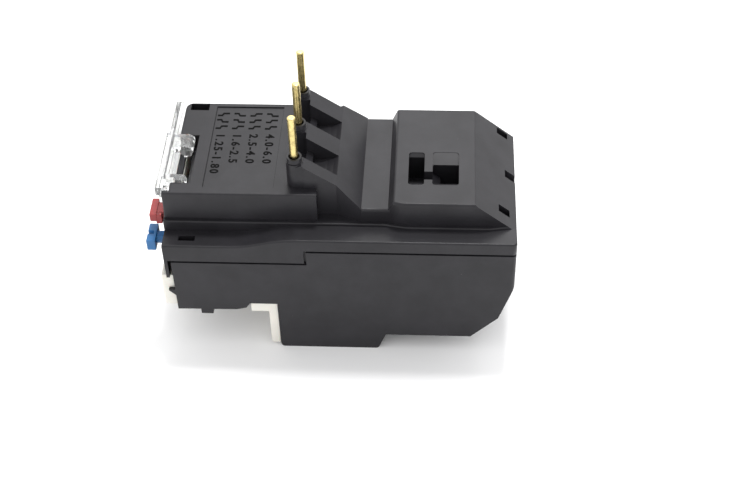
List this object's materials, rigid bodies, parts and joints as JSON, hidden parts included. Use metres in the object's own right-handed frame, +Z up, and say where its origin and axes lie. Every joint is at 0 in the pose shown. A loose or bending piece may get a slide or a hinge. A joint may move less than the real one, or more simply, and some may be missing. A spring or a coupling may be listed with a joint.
{
  "type": "thermal overload relay",
  "caption": "Plug-in thermal overload relay with plug pins, a hinged clear window over a setting dial, stop and reset buttons, and a bimetal trip mechanism.",
  "frame": {"origin": "middle of the bounding box, on the plane of the lowest face", "axes": "+Z up along the plug pins, -Y towards the operator's front with window and buttons, +X to the operator's right"},
  "size_m": [0.045, 0.1002, 0.0746],
  "materials": {
    "black_plastic": "fine spark-eroded texture, satin",
    "clear_plastic": "clear, polished",
    "ivory_plastic": "fine satin",
    "blue_plastic": "satin",
    "red_plastic": "satin",
    "grey_plastic": "satin",
    "orange_plastic": "satin",
    "brass": "bright drawn",
    "copper": "bright rolled",
    "zinc_steel": "zinc plated",
    "spring_steel": "drawn",
    "bimetal": "rolled",
    "heater_ribbon": "rolled",
    "glass_sleeve": "woven"
  },
  "bodies": {
    "housing": {"base_housing": "black_plastic", "top_cover": "black_plastic", "dial_plate": "ivory_plastic", "load_shroud": "ivory_plastic", "aux_strip": "ivory_plastic", "plug_pin_1": "brass", "plug_pin_2": "brass", "plug_pin_3": "brass", "no_terminal_left": "brass", "no_terminal_right": "brass", "nc_terminal_left": "brass", "nc_terminal_right": "brass", "line_strap_1": "copper", "line_strap_2": "copper", "line_strap_3": "copper", "load_busbar_1": "copper", "load_busbar_2": "copper", "load_busbar_3": "copper", "load_screws": "zinc_steel", "load_clamp_plates": "zinc_steel", "aux_screws": "zinc_steel", "aux_clamp_washers": "zinc_steel", "stop_spring": "spring_steel", "reset_spring": "spring_steel", "contact_spring": "spring_steel", "trip_pin": "spring_steel", "bimetal_1": "bimetal", "bimetal_2": "bimetal", "bimetal_3": "bimetal", "heater_winding_1": "heater_ribbon", "heater_winding_2": "heater_ribbon", "heater_winding_3": "heater_ribbon", "heater_sleeve_1": "glass_sleeve", "heater_sleeve_2": "glass_sleeve", "heater_sleeve_3": "glass_sleeve"},
    "window": {"window": "clear_plastic"},
    "setting_dial": {"setting_dial": "blue_plastic"},
    "stop_button": {"stop_button": "red_plastic"},
    "reset_collar": {"reset_collar": "grey_plastic"},
    "reset_button": {"reset_button": "blue_plastic", "reset_clip": "spring_steel"},
    "trip_slides": {"push_slide": "grey_plastic", "differential_slide": "grey_plastic", "differential_lever": "grey_plastic"},
    "trip_lever": {"trip_lever": "grey_plastic"},
    "contact_carrier": {"contact_crossbar": "grey_plastic", "no_bridge": "brass", "nc_bridge": "brass", "trip_flag": "orange_plastic"}
  },
  "joints": [
    {"name": "window_hinge", "type": "hinge", "parent": "housing", "child": "window", "pos_m": [0, -0.0402, 0.051], "axis": [-1, 0, 0], "range_deg": [0, 100]},
    {"name": "dial_turn", "type": "hinge", "parent": "housing", "child": "setting_dial", "pos_m": [-0.01, -0.043, 0.0406], "axis": [0, 1, 0], "range_deg": [-135, 135]},
    {"name": "stop_press", "type": "slide", "parent": "housing", "child": "stop_button", "axis": [0, 1, 0], "range_m": [0, 0.0018], "stiffness_N_per_m": 500, "springref_m": -0.0015, "deforming": ["stop_spring"]},
    {"name": "reset_turn", "type": "hinge", "parent": "housing", "child": "reset_collar", "pos_m": [0.0143, -0.043, 0.0349], "axis": [0, 1, 0], "range_deg": [0, 90]},
    {"name": "reset_press", "type": "slide", "parent": "reset_collar", "child": "reset_button", "axis": [0, 1, 0], "range_m": [0, 0.0022], "stiffness_N_per_m": 500, "springref_m": -0.0015, "deforming": ["reset_spring"]},
    {"name": "trip_travel", "type": "slide", "parent": "housing", "child": "trip_slides", "axis": [1, 0, 0], "range_m": [0, 0.0018], "stiffness_N_per_m": 300, "springref_m": -0.001, "deforming": ["bimetal_1", "bimetal_2", "bimetal_3"]},
    {"name": "trip_lever_turn", "type": "hinge", "parent": "housing", "child": "trip_lever", "pos_m": [0.0176, 0, 0.035], "axis": [0, -1, 0], "range_deg": [0, 12.5]},
    {"name": "contact_drop", "type": "slide", "parent": "housing", "child": "contact_carrier", "axis": [0, 0, -1], "range_m": [0, 0.0018], "deforming": ["contact_spring"]}
  ],
  "couplings": [
    {"joint": "trip_lever_turn", "follows": "trip_travel", "rad_per_m": 121.11},
    {"joint": "contact_drop", "follows": "trip_travel", "ratio": 1}
  ]
}
